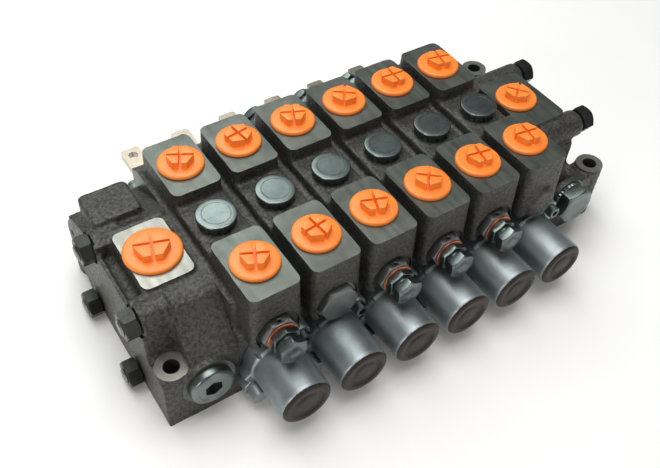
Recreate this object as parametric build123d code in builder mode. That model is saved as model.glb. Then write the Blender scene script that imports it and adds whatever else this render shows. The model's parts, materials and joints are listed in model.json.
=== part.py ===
# Six-spool sectional directional control valve, in millimetres, +Z up.
# The origin is on the mounting face, on the centre line between the two rows of
# work ports and halfway between the left and right mounting holes.
# The sections stack along X: inlet on the left, outlet on the right. The spools
# slide along Y, with the closed spring caps at the front (-Y) and the spool
# tongues at the back (+Y). Every port opens upwards.
import os

from build123d import *

os.makedirs("parts", exist_ok=True)

# The stack
pitch = 46.0  # width of one working section
section_count = 6
first_x = -124.0  # centre of working section 1
joint_left = first_x - pitch / 2
joint_right = joint_left + section_count * pitch
inlet_left = joint_left - 53.0
outlet_right = joint_right + 47.0

# Levels and faces
row_y = 52.5  # work port rows, either side of the centre line
tower_top = 109.5
tower_width = 37.0
tower_length = 56.0
tower_foot = 60.0
tower_back = row_y + tower_length / 2
pad_top = 98.0  # rough pad that carries the load-check plug
port_pad_top = 95.5  # machined pads of the inlet and outlet ports
lug_top = 51.0
face_front = -68.0
face_back = 92.0
core_top = 90.0

# Spools
spool_z = 33.0
spool_radius = 8.95
spool_bore = 9.0
spool_travel = 7.0
tongue_hole_y = 156.0
tongue_end = 165.0
tongue_hole = 4.0
tongue_width = 16.0
tongue_thick = 6.0

# Galleries that run the whole stack along X
low_gallery = (0.0, 14.0, 7.0)  # Y, Z, radius of the open-centre gallery
high_gallery = (0.0, 54.0, 6.0)  # pressure gallery that feeds the load checks
tank_y = 35.0
tank_z = 24.0
tank_radius = 6.0

# Ports
work_mouth = 13.2  # G3/4, with the thread below a short plain mouth
work_thread = 12.6
work_flange = 16.7
inlet_mouth = 16.6  # G1
inlet_thread = 16.0
inlet_flange = 20.0
mouth_depth = 5.5
thread_length = 14.0
passage = 8.5
inlet_x = joint_left - 24.5
outlet_x = joint_right + 19.0

# Load checks
check_thread = 11.0
check_seat = 64.0
check_lift = 4.0
chamber = 9.0
chamber_top = 82.0

# Cartridge cavities for the port relief valves
relief_z = 70.5
relief_radius = 9.0
relief_front = -79.0
relief_back = 91.0
relief_inner = 45.0  # how near the cavities come to the centre line

# Spring cap and seal plate flanges
ear_x = 19.0
ear_z = 17.5
flange_thick = 12.0
flange_radius = 21.0
ear_radius = 7.5
cap_end = -120.0
cap_root_radius = 19.5
cap_end_radius = 18.0
cap_cavity_end = cap_end + 6.0
cap_cavity_radius = 14.0
screw_radius = 3.0  # M6
screw_head = 5.0
screw_head_height = 6.0
screw_hold = 12.0  # thread engagement

# Tie rods, M12, as (Y, Z) and their end faces
rod_radius = 6.0
rod_gap = 0.4
upper_rods = [(-36.0, 82.5), (36.0, 82.5)]
lower_rods = [(-23.0, 11.2), (48.0, 11.2)]
nut_across = 19.0
nut_thick = 10.0
washer_radius = 11.0
washer_thick = 3.5  # a flat and a spring washer
upper_left_face = inlet_left + 2.0
upper_right_face = joint_right + 53.0

# Mounting holes, vertical, on four corner lugs
lug_x = 191.0
lug_front_y = -58.0
lug_back_y = 92.0
lug_radius = 11.5
mount_hole = 5.75

slip = 0.05  # radial clearance of threads and running fits


def section_x(number):
    """X of the centre of working section 1 to 6."""
    return first_x + (number - 1) * pitch


def facing_right(x):
    """A plane square to X whose own axes are the object's Y and Z."""
    return Plane(origin=(x, 0, 0), x_dir=(0, 1, 0), z_dir=(1, 0, 0))


def facing_front(y, x=0.0, z=0.0):
    """A plane square to Y, looking out of the front, with its own axes X and Z."""
    return Plane(origin=(x, y, z), x_dir=(1, 0, 0), z_dir=(0, -1, 0))


def facing_down(z):
    """A plane square to Z that extrudes downwards."""
    return Plane(origin=(0, 0, z), x_dir=(1, 0, 0), z_dir=(0, 0, -1))


def bar(start, end, radius, mode=Mode.ADD):
    """A round bar between two points that differ along one axis."""
    span = Vector(*end) - Vector(*start)
    turn = (0, 0, 0)
    if abs(span.X) > 0:
        turn = (0, 90, 0)
    if abs(span.Y) > 0:
        turn = (90, 0, 0)
    middle = Vector(*start) + span * 0.5
    with Locations(Location(tuple(middle), turn)):
        Cylinder(radius, span.length, mode=mode)


def hole(start, end, radius):
    """A round hole between two points that differ along one axis."""
    bar(start, end, radius, Mode.SUBTRACT)


def block(low, high, mode=Mode.ADD):
    """A box between its lowest and highest corners."""
    size = [high[axis] - low[axis] for axis in range(3)]
    middle = [(high[axis] + low[axis]) / 2 for axis in range(3)]
    with Locations(tuple(middle)):
        Box(*size, mode=mode)


def save(piece, name):
    """Label a finished piece and write its file."""
    piece.label = name
    export_step(piece, "parts/" + name + ".step")


def gallery_holes(x_from, x_to, tanks=(-1, 1)):
    """The galleries of one slice of the stack."""
    for y, z, radius in (low_gallery, high_gallery):
        hole((x_from, y, z), (x_to, y, z), radius)
    for side in tanks:
        hole((x_from, side * tank_y, tank_z), (x_to, side * tank_y, tank_z), tank_radius)


seal_depth = 2.0
seal_places = [
    (low_gallery[0], low_gallery[1], low_gallery[2] + 1.6),
    (high_gallery[0], high_gallery[1], high_gallery[2] + 1.4),
    (-tank_y, tank_z, tank_radius + 1.4),
    (tank_y, tank_z, tank_radius + 1.4),
]
seal_width = 2.3


def seal_grooves(x):
    """Grooves for the joint seals, cut into a face that looks along +X."""
    for y, z, inner in seal_places:
        with Locations(Location((x - seal_depth / 2, y, z), (0, 90, 0))):
            Cylinder(inner + seal_width + slip, seal_depth, mode=Mode.SUBTRACT)


def rod_holes(x_from, x_to):
    """Clearance holes for the four tie rods."""
    for y, z in upper_rods + lower_rods:
        hole((x_from, y, z), (x_to, y, z), rod_radius + rod_gap)


def port_hole(x, y, top, mouth, thread):
    """A port opening upwards: a plain mouth with the threaded wall below it."""
    hole((x, y, top - mouth_depth), (x, y, top + 1), mouth)
    hole((x, y, top - mouth_depth - thread_length), (x, y, top - mouth_depth), thread)


def mounting_lugs(side, reach):
    """The two corner columns of an end section, with their mounting holes."""
    for y in (lug_front_y, lug_back_y):
        bar((side * lug_x, y, 0), (side * lug_x, y, lug_top), lug_radius)
        inner = side * reach
        low_x = min(inner, side * lug_x)
        high_x = max(inner, side * lug_x)
        block((low_x, y - lug_radius + 1.5, 0), (high_x, y + lug_radius - 1.5, lug_top - 1.5))
    for y in (lug_front_y, lug_back_y):
        hole((side * lug_x, y, -1), (side * lug_x, y, lug_top + 1), mount_hole)


# Working sections. Sections 1, 3, 4 and 5 have a front relief valve, section 2 has
# a blanking plug there and section 6 an undrilled boss. Every section is drilled at
# the back, where 3, 4 and 5 have relief valves and the others blanking plugs.
front_valves = (1, 3, 4, 5)
front_blanks = (2,)
back_valves = (3, 4, 5)
back_blanks = (1, 2, 6)
groove_radius = 12.5
spool_grooves = [(0.0, 12.0), (-17.0, 8.0), (17.0, 8.0), (-tank_y, 8.0), (tank_y, 8.0),
                 (-row_y, 12.0), (row_y, 12.0)]  # centre and width along Y
rod_seal_radius = 12.2
rod_seal_thick = 3.0
bridge_z = 74.0
bridge_y = 17.0
bridge_radius = 3.5
spot_radius = 16.5  # flats that the cartridges and plugs seat on

for number in range(1, section_count + 1):
    x = section_x(number)
    left = x - pitch / 2
    right = x + pitch / 2
    with BuildPart() as section:
        with BuildSketch(facing_right(left)):
            with BuildLine():
                Polyline(
                    (face_front, 0), (face_front, tower_foot), (-60, 68), (-60, core_top),
                    (80, core_top), (face_back, 84), (face_back, 0), close=True,
                )
            make_face()
        extrude(amount=pitch)
        # towers around the work ports, a little wider at the foot
        with BuildSketch(facing_down(tower_top)):
            with Locations((x, -row_y), (x, row_y)):
                RectangleRounded(tower_width, tower_length, 5)
        extrude(amount=tower_top - tower_foot, taper=-1.2)
        # rough pad between the towers, with a round land for the check plug
        block((x - 18.5, -26, tower_foot), (x + 18.5, 26, pad_top))
        bar((x, 0, pad_top - 1), (x, 0, pad_top + 1), 15.5)
        # relief cavities on their spot faces, or the plain boss of the last section
        if number in front_valves + front_blanks:
            hole((x, -90, relief_z), (x, relief_front, relief_z), spot_radius)
            hole((x, relief_front, relief_z), (x, -relief_inner, relief_z), relief_radius)
        else:
            bar((x, -85, relief_z), (x, -70, relief_z), 13)
        hole((x, relief_back, relief_z), (x, face_back + 1, relief_z), spot_radius)
        hole((x, relief_inner, relief_z), (x, relief_back, relief_z), relief_radius)
        # work ports: threaded mouth, then a passage down to the spool
        for side in (-1, 1):
            mouth = side * row_y
            port_hole(x, mouth, tower_top, work_mouth, work_thread)
            hole((x, mouth, spool_z), (x, mouth, tower_top - mouth_depth - thread_length), passage)
            hole((x, side * bridge_y, spool_z), (x, side * bridge_y, bridge_z), bridge_radius)
        # spool bore with its grooves, and the seal recess at each end
        hole((x, face_front, spool_z), (x, face_back, spool_z), spool_bore)
        for centre, width in spool_grooves:
            hole((x, centre - width / 2, spool_z), (x, centre + width / 2, spool_z), groove_radius)
        for face, inwards in ((face_front, 1), (face_back, -1)):
            inner = face + inwards * rod_seal_thick
            hole((x, face, spool_z), (x, inner, spool_z), rod_seal_radius + slip)
        # load check: threaded mouth, chamber, seat and the bridge to both sides
        hole((x, 0, chamber_top), (x, 0, pad_top + 2), check_thread + slip)
        hole((x, 0, check_seat), (x, 0, chamber_top), chamber)
        hole((x, 0, high_gallery[1]), (x, 0, check_seat), 5.5)
        hole((x, -bridge_y, bridge_z - 3), (x, bridge_y, bridge_z - 3), bridge_radius - 0.6)
        # tapped holes for the flanges of the spring cap and the seal plate
        for face, inwards in ((face_front, 1), (face_back, -1)):
            for dx, dz in ((ear_x, ear_z), (-ear_x, ear_z), (ear_x, -ear_z), (-ear_x, -ear_z)):
                inner = face + inwards * (screw_hold + 1)
                hole((x + dx, face, spool_z + dz), (x + dx, inner, spool_z + dz), screw_radius + slip)
        gallery_holes(left, right)
        rod_holes(left, right)
        seal_grooves(right)
    save(section.part, "work_section_" + str(number))

# Inlet section: pressure port on top, main relief valve in front
inlet_plug_z = 36.0
inlet_boss = 19.5
inlet_head = 15.8
with BuildPart() as inlet:
    with BuildSketch(facing_right(inlet_left)):
        with BuildLine():
            Polyline(
                (face_front, 0), (face_front, 55), (-44, 89), (-38, 92), (35, 92), (47, 88),
                (85, 72), (face_back, 60), (face_back, 30), (58, 0), close=True,
            )
        make_face()
    extrude(amount=joint_left - inlet_left)
    with BuildSketch(Plane.XY.offset(88)):
        with Locations((inlet_x, 0)):
            RectangleRounded(37, 54.5, 5)
    extrude(amount=port_pad_top - 88)
    # raised block at the back and the rib in front of it
    with BuildSketch(Plane.XY.offset(70)):
        with Locations((joint_left - 31, 56)):
            RectangleRounded(36, 31, 4)
    extrude(amount=27)
    block((inlet_left + 8, 29.5, 90), (joint_left - 3, 33, 94))
    # step and channel between the port pad and the left rim
    block((inlet_left - 1, -25, 85), (inlet_x - 19, 25, 100), Mode.SUBTRACT)
    block((inlet_left + 3.5, -25, 79), (inlet_x - 19, 25, 86), Mode.SUBTRACT)
    # room above the two mounting lugs
    block((inlet_left - 1, face_front - 1, lug_top - 2), (inlet_left + 21, -46.5, 100), Mode.SUBTRACT)
    block((inlet_left - 1, tower_back, lug_top), (inlet_left + 21, face_back + 1, 100), Mode.SUBTRACT)
    for y, z in upper_rods:
        bar((upper_left_face, y, z), (inlet_left + 22, y, z), 11)
        hole((inlet_left - 1, y, z), (upper_left_face, y, z), 12)
    mounting_lugs(-1, lug_x - 14)
    bar((inlet_x, face_front - 4, inlet_plug_z), (inlet_x, face_front + 1, inlet_plug_z), inlet_boss)
    # pressure port, passage, main relief cavity and galleries
    port_hole(inlet_x, 0, port_pad_top, inlet_mouth, inlet_thread)
    hole((inlet_x, 0, low_gallery[1]), (inlet_x, 0, port_pad_top - mouth_depth - thread_length), passage)
    hole((inlet_x, face_front - 4, inlet_plug_z), (inlet_x, -8, inlet_plug_z), relief_radius)
    for y, z, radius in (low_gallery, high_gallery):
        hole((inlet_x, y, z), (joint_left, y, z), radius)
    hole((inlet_x, -tank_y, tank_z), (joint_left, -tank_y, tank_z), tank_radius)
    rod_holes(inlet_left - 1, joint_left)
    seal_grooves(joint_left)
save(inlet.part, "inlet_section")

# Outlet section: tank port on top, blanking plug in front
outlet_plug_x = joint_right + 28.0
outlet_plug_z = 38.0
with BuildPart() as outlet:
    with BuildSketch(facing_right(joint_right)):
        with BuildLine():
            Polyline(
                (face_front, 0), (face_front, lug_top), (-46, 72), (-33, 92), (30, 92),
                (46, 84), (62, 64), (face_back, 58), (face_back, 0), close=True,
            )
        make_face()
    extrude(amount=outlet_right - joint_right)
    with BuildSketch(Plane.XY.offset(84)):
        with Locations((joint_right + 22.5, -2.5)):
            RectangleRounded(41, 61, 5)
    extrude(amount=port_pad_top - 84)
    # room above the two mounting lugs
    block((outlet_right - 12, face_front - 1, lug_top), (outlet_right + 1, -46.5, 100), Mode.SUBTRACT)
    block((outlet_right - 12, 74, lug_top), (outlet_right + 1, face_back + 1, 100), Mode.SUBTRACT)
    for y, z in upper_rods:
        bar((joint_right, y, z), (upper_right_face, y, z), 11)
    mounting_lugs(1, lug_x - 22)
    bar((outlet_plug_x, face_front - 2, outlet_plug_z), (outlet_plug_x, face_front + 1, outlet_plug_z), 18)
    # tank port, cross passage and galleries
    port_hole(outlet_x, 0, port_pad_top, work_mouth, work_thread)
    hole((outlet_x, 0, tank_z), (outlet_x, 0, port_pad_top - mouth_depth - thread_length), passage)
    hole((outlet_x, -tank_y, tank_z), (outlet_x, tank_y, tank_z), tank_radius)
    hole((outlet_plug_x, face_front - 2, outlet_plug_z), (outlet_plug_x, -6, outlet_plug_z), relief_radius)
    hole((joint_right, 0, low_gallery[1]), (outlet_x, 0, low_gallery[1]), low_gallery[2])
    for side in (-1, 1):
        hole((joint_right, side * tank_y, tank_z), (outlet_x, side * tank_y, tank_z), tank_radius)
    rod_holes(joint_right, upper_right_face + 1)
save(outlet.part, "outlet_section")

# Spools: lands and grooves inside, a spring stem at the front, a flat tongue behind
waists = [(-57, -44), (-40, -29), (-23, -10), (10, 23), (29, 40), (44, 57)]  # Y of each neck
waist_radius = 6.0
stem_radius = 4.0
stem_start = -66.5
stem_end = cap_cavity_end + spool_travel + 2
stem_head = stem_end + 5
shank_end = 122.0
for number in range(1, section_count + 1):
    x = section_x(number)
    with BuildPart() as spool:
        bar((x, stem_start, spool_z), (x, shank_end, spool_z), spool_radius)
        for start, end in waists:
            with BuildSketch(facing_front(end, x, spool_z)):
                Circle(spool_radius + 1)
                Circle(waist_radius, mode=Mode.SUBTRACT)
            extrude(amount=end - start, mode=Mode.SUBTRACT)
        bar((x, stem_head, spool_z), (x, stem_start, spool_z), stem_radius)
        bar((x, stem_end, spool_z), (x, stem_head, spool_z), 6)
        with BuildSketch(Plane.XY.offset(spool_z - tongue_thick / 2)):
            with Locations((x, (shank_end - 6 + tongue_end) / 2)):
                RectangleRounded(tongue_width, tongue_end - shank_end + 6, 2.5)
        extrude(amount=tongue_thick)
        # flats that run the shank into the tongue
        for side in (-1, 1):
            block(
                (x - 10, shank_end - 6, spool_z + min(side * tongue_thick / 2, side * 10)),
                (x + 10, shank_end + 1, spool_z + max(side * tongue_thick / 2, side * 10)),
                Mode.SUBTRACT,
            )
        hole((x, tongue_hole_y, 20), (x, tongue_hole_y, 46), tongue_hole)
    save(spool.part, "spool_" + str(number))


def flange_outline():
    """The two-eared flange, drawn about its own centre."""
    with BuildSketch() as outline:
        Circle(flange_radius)
        for side in (-1, 1):
            with BuildLine():
                Polyline(
                    (0, 0), (side * (ear_x - 5.2), side * (ear_z + 5.2)),
                    (side * (ear_x + 5.2), side * (ear_z - 5.2)), close=True,
                )
            make_face()
            with Locations((side * ear_x, side * ear_z)):
                Circle(ear_radius)
    return outline.sketch


# Spring caps, closed, at the front
caps = []
for number in range(1, section_count + 1):
    x = section_x(number)
    with BuildPart() as cap:
        with BuildSketch(Plane.XY) as profile:
            with BuildLine():
                Polyline(
                    (0, face_front), (cap_root_radius, face_front), (cap_end_radius, cap_end + 2.5),
                    (cap_end_radius - 2.5, cap_end), (13.5, cap_end), (12.5, cap_end + 1.5),
                    (8.5, cap_end + 1.5), (7.5, cap_end + 0.5), (0, cap_end + 0.5), close=True,
                )
            make_face()
        revolve(axis=Axis.Y)
        with BuildSketch(facing_front(face_front)):
            add(flange_outline())
        extrude(amount=flange_thick)
        hole((0, face_front, 0), (0, cap_cavity_end, 0), cap_cavity_radius)
        for side in (-1, 1):
            place = (side * ear_x, face_front - flange_thick - 1, side * ear_z)
            hole((place[0], face_front, place[2]), place, screw_radius + 0.3)
            hole((place[0], face_front - flange_thick, place[2]), (place[0], -90, place[2]), 5.6)
    caps.append(Pos(x, 0, spool_z) * cap.part)
save(Compound(children=caps), "spool_caps")

# Seal plates round the spools at the back, and their wipers
plates = []
wipers = []
wiper_radius = 12.5
for number in range(1, section_count + 1):
    x = section_x(number)
    with BuildPart() as plate:
        with BuildSketch(Plane(origin=(0, face_back, 0), x_dir=(-1, 0, 0), z_dir=(0, 1, 0))):
            add(flange_outline())
        extrude(amount=flange_thick)
        bar((0, face_back + flange_thick, 0), (0, face_back + flange_thick + 4, 0), 15)
        hole((0, face_back, 0), (0, face_back + 20, 0), spool_radius + 0.35)
        hole((0, face_back + 12, 0), (0, face_back + 20, 0), wiper_radius + slip)
        for side in (-1, 1):
            place = (-side * ear_x, face_back + flange_thick + 1, side * ear_z)
            hole((place[0], face_back, place[2]), place, screw_radius + 0.3)
    plates.append(Pos(x, 0, spool_z) * plate.part)
    with BuildPart() as wiper:
        bar((x, face_back + 12, spool_z), (x, face_back + 17, spool_z), wiper_radius)
        hole((x, face_back + 12, spool_z), (x, face_back + 17, spool_z), spool_radius + 0.1)
    wipers.append(wiper.part)
save(Compound(children=plates), "seal_plates")
save(Compound(children=wipers), "spool_wipers")


def socket_screw(x, y, z, direction):
    """An M6 socket head screw whose head rests at y and whose shank runs along direction."""
    tip = y + direction * (flange_thick + screw_hold)
    top = y - direction * screw_head_height
    with BuildPart() as screw:
        bar((x, y, z), (x, tip, z), screw_radius)
        bar((x, top, z), (x, y, z), screw_head)
        with BuildSketch(Plane(origin=(x, top, z), x_dir=(1, 0, 0), z_dir=(0, direction, 0))):
            RegularPolygon(2.5, 6, major_radius=False)
        extrude(amount=3, mode=Mode.SUBTRACT)
    return screw.part


front_screws = []
back_screws = []
for number in range(1, section_count + 1):
    x = section_x(number)
    for side in (-1, 1):
        z = spool_z + side * ear_z
        front_screws.append(socket_screw(x + side * ear_x, face_front - flange_thick, z, 1))
        back_screws.append(socket_screw(x - side * ear_x, face_back + flange_thick, z, -1))
save(Compound(children=front_screws), "cap_screws")
save(Compound(children=back_screws), "plate_screws")

# Centring springs and their cups, round the spool stems
spring_wire = 1.3
spring_radius = 10.0
spring_start = -77.5
spring_length = 25.5
springs = []
cups = []
for number in range(1, section_count + 1):
    x = section_x(number)
    with BuildPart() as spring:
        with BuildLine() as path:
            Helix(5.6, spring_length, spring_radius)
        with BuildSketch(Plane(origin=path.line @ 0, z_dir=path.line % 0)):
            Circle(spring_wire)
        sweep(is_frenet=True)
    springs.append(Location((x, spring_start, spool_z), (90, 0, 0)) * spring.part)
    for start in (spring_start + 1.5, spring_start - spring_length - 1.5 - 2):
        with BuildPart() as cup:
            bar((x, start, spool_z), (x, start + 2, spool_z), 13.7)
            hole((x, start, spool_z), (x, start + 2, spool_z), 6.5)
        cups.append(cup.part)
save(Compound(children=springs), "centering_springs")
save(Compound(children=cups), "spring_cups")

# Seals round the spools and between the sections
rod_seals = []
for number in range(1, section_count + 1):
    x = section_x(number)
    for start in (face_front, face_back - rod_seal_thick):
        with BuildPart() as seal:
            bar((x, start, spool_z), (x, start + rod_seal_thick, spool_z), rod_seal_radius)
            hole((x, start, spool_z), (x, start + rod_seal_thick, spool_z), spool_radius + 0.1)
        rod_seals.append(seal.part)
save(Compound(children=rod_seals), "spool_seals")

joint_seals = []
for joint in range(section_count + 1):
    x = joint_left + joint * pitch
    for y, z, inner in seal_places:
        with BuildPart() as seal:
            bar((x - seal_depth, y, z), (x, y, z), inner + seal_width)
            hole((x - seal_depth, y, z), (x, y, z), inner)
        joint_seals.append(seal.part)
save(Compound(children=joint_seals), "section_seals")

# Load checks: plug, poppet and spring
check_plugs = []
check_springs = []
poppet_skirt = 8.7
stem_top = 88.0
for number in range(1, section_count + 1):
    x = section_x(number)
    with BuildPart() as plug:
        bar((x, 0, chamber_top), (x, 0, pad_top + 1), check_thread)
        bar((x, 0, pad_top + 1), (x, 0, 104), 13.4)
        with Locations((x, 0, pad_top + 3.5)):
            with PolarLocations(14.6, 12):
                Cylinder(2.4, 5, mode=Mode.SUBTRACT)
        bar((x, 0, 104), (x, 0, 107), 14.2)
        chamfer(plug.edges().group_by(Axis.Z)[-1], 0.6)
        hole((x, 0, chamber_top), (x, 0, stem_top + check_lift + 4), 3.9)
    check_plugs.append(plug.part)
    with BuildPart() as poppet:
        bar((x, 0, check_seat - 3), (x, 0, check_seat), 5.2)
        bar((x, 0, check_seat), (x, 0, check_seat + 7), poppet_skirt)
        bar((x, 0, check_seat + 7), (x, 0, stem_top), 3.5)
    save(poppet.part, "check_poppet_" + str(number))
    with BuildPart() as spring:
        with BuildLine(Plane(origin=(x, 0, check_seat + 7.6), z_dir=(0, 0, 1))) as path:
            Helix(2.5, 9.6, 6)
        with BuildSketch(Plane(origin=path.line @ 0, z_dir=path.line % 0)):
            Circle(0.5)
        sweep(is_frenet=True)
    check_springs.append(spring.part)
save(Compound(children=check_plugs), "check_plugs")
save(Compound(children=check_springs), "check_springs")

# Plastic transit plugs: a round flange, a split hexagonal grip and a hollow spigot
flange_height = 3.2
grip_height = 6.2
slot_width = 2.0
work_grip = 10.2  # corner radius of the hexagonal grip
inlet_grip = 12.8
spigot_length = 5.0


def transit_plug(x, y, z, flange, spigot, grip, turn):
    """A plug whose flange rests at z; turn is the grip's angle about Z."""
    with BuildPart() as plug:
        bar((0, 0, 0), (0, 0, flange_height), flange)
        fillet(plug.edges().group_by(Axis.Z)[-1], 1.2)
        bar((0, 0, -spigot_length), (0, 0, 0), spigot)
        hole((0, 0, -spigot_length), (0, 0, -1.5), spigot - 2)
        with BuildSketch(Plane.XY.offset(flange_height - 0.5)):
            RegularPolygon(grip, 6)
            Rectangle(2 * grip + 2, slot_width, mode=Mode.SUBTRACT)
            Rectangle(slot_width, 2 * grip + 2, mode=Mode.SUBTRACT)
        extrude(amount=grip_height + 0.5)
    return Location((x, y, z), (0, 0, turn)) * plug.part


work_spigot = work_mouth - 0.4
front_turns = (-25, -84, -20, 50, -11, -8)
back_turns = (-28, -82, -24, 54, -4, -12)
for number in range(1, section_count + 1):
    x = section_x(number)
    front = transit_plug(x, -row_y, tower_top, work_flange, work_spigot, work_grip, front_turns[number - 1])
    save(front, "a_port_plug_" + str(number))
    back = transit_plug(x, row_y, tower_top, work_flange, work_spigot, work_grip, back_turns[number - 1])
    save(back, "b_port_plug_" + str(number))
save(transit_plug(inlet_x, 0, port_pad_top, inlet_flange, inlet_mouth - 0.4, inlet_grip, -18), "p_port_plug")
save(transit_plug(outlet_x, 0, port_pad_top, work_flange, work_spigot, work_grip, 38), "t_port_plug")


# Cartridges and plugs along Y. "out" is -1 towards the front and +1 towards the back.
def out_plane(x, y, z, out):
    """A plane square to Y that extrudes outwards."""
    return Plane(origin=(x, y, z), x_dir=(1, 0, 0), z_dir=(0, out, 0))


body_across = 24.0  # across the flats
body_length = 7.0
cap_across = 19.0
blank_across = 27.0
washer_gap = 1.2  # thickness of the copper washer between body and cap


def relief_body(x, face, out):
    """Screwed body of a port relief valve, with its hexagon outside the face."""
    with BuildPart() as body:
        with BuildSketch(out_plane(x, face, relief_z, out)):
            RegularPolygon(body_across / 2, 6, major_radius=False)
        extrude(amount=body_length)
        bar((x, face, relief_z), (x, face - out * 20, relief_z), relief_radius - slip)
        hole((x, face + out * 3.5, relief_z), (x, face + out * 3.5, relief_z + 20), 0.9)
    return body.part


def relief_cap(x, face, out):
    """Locking cap of a port relief valve, outside the copper washer."""
    with BuildPart() as cap:
        with BuildSketch(out_plane(x, face + out * (body_length + washer_gap), relief_z, out)):
            RegularPolygon(cap_across / 2, 6, major_radius=False, rotation=30)
        extrude(amount=5.5)
        bar((x, face + out * 13.7, relief_z), (x, face + out * 16, relief_z), 7.5)
        with BuildSketch(out_plane(x, face + out * 16, relief_z, out)):
            RegularPolygon(cap_across / 2, 6, major_radius=False, rotation=30)
        extrude(amount=7)
    return cap.part


valve_places = [(section_x(number), relief_front, -1) for number in front_valves]
valve_places += [(section_x(number), relief_back, 1) for number in back_valves]
blank_places = [(section_x(number), relief_front, -1) for number in front_blanks]
blank_places += [(section_x(number), relief_back, 1) for number in back_blanks]
bodies = []
washers = []
relief_caps = []
blanks = []
for x, face, out in valve_places:
    bodies.append(relief_body(x, face, out))
    relief_caps.append(relief_cap(x, face, out))
    with BuildPart() as washer:
        seat = face + out * body_length
        bar((x, seat, relief_z), (x, seat + out * washer_gap, relief_z), 11.4)
    washers.append(washer.part)
for x, face, out in blank_places:
    with BuildPart() as blank:
        with BuildSketch(out_plane(x, face, relief_z, out)):
            RegularPolygon(blank_across / 2, 6, major_radius=False)
        extrude(amount=6.5)
        bar((x, face, relief_z), (x, face - out * 14, relief_z), relief_radius - slip)
    blanks.append(blank.part)
save(Compound(children=bodies), "relief_valve_bodies")
save(Compound(children=washers), "relief_washers")
save(Compound(children=relief_caps), "relief_caps")
save(Compound(children=blanks), "relief_blank_plugs")

# Main relief valve: cartridge behind a round plug with a hexagon socket
with BuildPart() as cartridge:
    bar((inlet_x, face_front - 11, inlet_plug_z), (inlet_x, face_front - 4, inlet_plug_z), inlet_head)
    bar((inlet_x, face_front - 4, inlet_plug_z), (inlet_x, -20, inlet_plug_z), relief_radius - slip)
    with BuildSketch(out_plane(inlet_x, face_front - 11, inlet_plug_z, 1)):
        RegularPolygon(6, 6, major_radius=False)
    extrude(amount=8, mode=Mode.SUBTRACT)
save(cartridge.part, "main_relief_cartridge")

# Outlet blanking plug and its serrated washer
with BuildPart() as outlet_plug:
    with BuildSketch(out_plane(outlet_plug_x, face_front - 5, outlet_plug_z, -1)):
        RegularPolygon(15, 6, major_radius=False, rotation=10)
    extrude(amount=10)
    bar(
        (outlet_plug_x, face_front - 5, outlet_plug_z),
        (outlet_plug_x, face_front + 14, outlet_plug_z),
        relief_radius - slip,
    )
save(outlet_plug.part, "outlet_plug")
with BuildPart() as outlet_washer:
    bar(
        (outlet_plug_x, face_front - 5, outlet_plug_z),
        (outlet_plug_x, face_front - 2, outlet_plug_z),
        16.5,
    )
    hole(
        (outlet_plug_x, face_front - 5, outlet_plug_z),
        (outlet_plug_x, face_front - 2, outlet_plug_z),
        relief_radius,
    )
save(outlet_washer.part, "outlet_plug_washer")

# Tie rods with their washers and nuts
rods = []
nuts = []
rod_washers = []
rod_ends = [(place, upper_left_face, upper_right_face) for place in upper_rods]
rod_ends += [(place, inlet_left, outlet_right) for place in lower_rods]
stud_over = 1.5
for (y, z), left_face, right_face in rod_ends:
    over = washer_thick + nut_thick + stud_over
    with BuildPart() as rod:
        bar((left_face - over, y, z), (right_face + over, y, z), rod_radius)
        chamfer(rod.edges(), 1)
    rods.append(rod.part)
    for face, out in ((left_face, -1), (right_face, 1)):
        with BuildPart() as washer:
            bar((face, y, z), (face + out * washer_thick, y, z), washer_radius)
            hole((face, y, z), (face + out * washer_thick, y, z), rod_radius + rod_gap)
        rod_washers.append(washer.part)
        seat = face + out * washer_thick
        plane = Plane(origin=(seat, y, z), x_dir=(0, 1, 0), z_dir=(out, 0, 0))
        with BuildPart() as nut:
            with BuildSketch(plane):
                RegularPolygon(nut_across / 2, 6, major_radius=False)
            extrude(amount=nut_thick)
            hole((seat - out, y, z), (seat + out * (nut_thick + 1), y, z), rod_radius + slip)
        nuts.append(nut.part)
save(Compound(children=rods), "tie_rods")
save(Compound(children=rod_washers), "tie_rod_washers")
save(Compound(children=nuts), "tie_rod_nuts")
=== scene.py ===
import json
import math

import bpy
from mathutils import Matrix, Vector


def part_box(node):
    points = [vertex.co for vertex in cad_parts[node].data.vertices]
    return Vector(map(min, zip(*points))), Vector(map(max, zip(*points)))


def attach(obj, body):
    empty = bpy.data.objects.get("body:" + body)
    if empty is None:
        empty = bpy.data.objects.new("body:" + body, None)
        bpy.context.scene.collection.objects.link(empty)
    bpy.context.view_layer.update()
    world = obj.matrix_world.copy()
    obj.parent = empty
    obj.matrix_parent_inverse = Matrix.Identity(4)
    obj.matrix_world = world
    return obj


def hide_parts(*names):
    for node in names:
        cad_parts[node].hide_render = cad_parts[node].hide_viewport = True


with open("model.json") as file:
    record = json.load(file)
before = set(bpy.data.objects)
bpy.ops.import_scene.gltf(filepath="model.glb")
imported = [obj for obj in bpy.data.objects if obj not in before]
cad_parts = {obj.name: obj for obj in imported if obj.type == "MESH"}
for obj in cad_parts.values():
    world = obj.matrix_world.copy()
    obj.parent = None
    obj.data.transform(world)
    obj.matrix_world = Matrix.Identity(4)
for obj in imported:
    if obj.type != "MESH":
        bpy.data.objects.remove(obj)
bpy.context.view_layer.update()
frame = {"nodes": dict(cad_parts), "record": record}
mm = 0.001
sectionNumbers = range(1, 7)
print("frame loaded")


# Camera

cameraView = {"place": (-282.3, -348.0, 508.1), "azimuth": 36.08, "down": 47.87, "roll": 3.93, "lens": 44.68}

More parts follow.
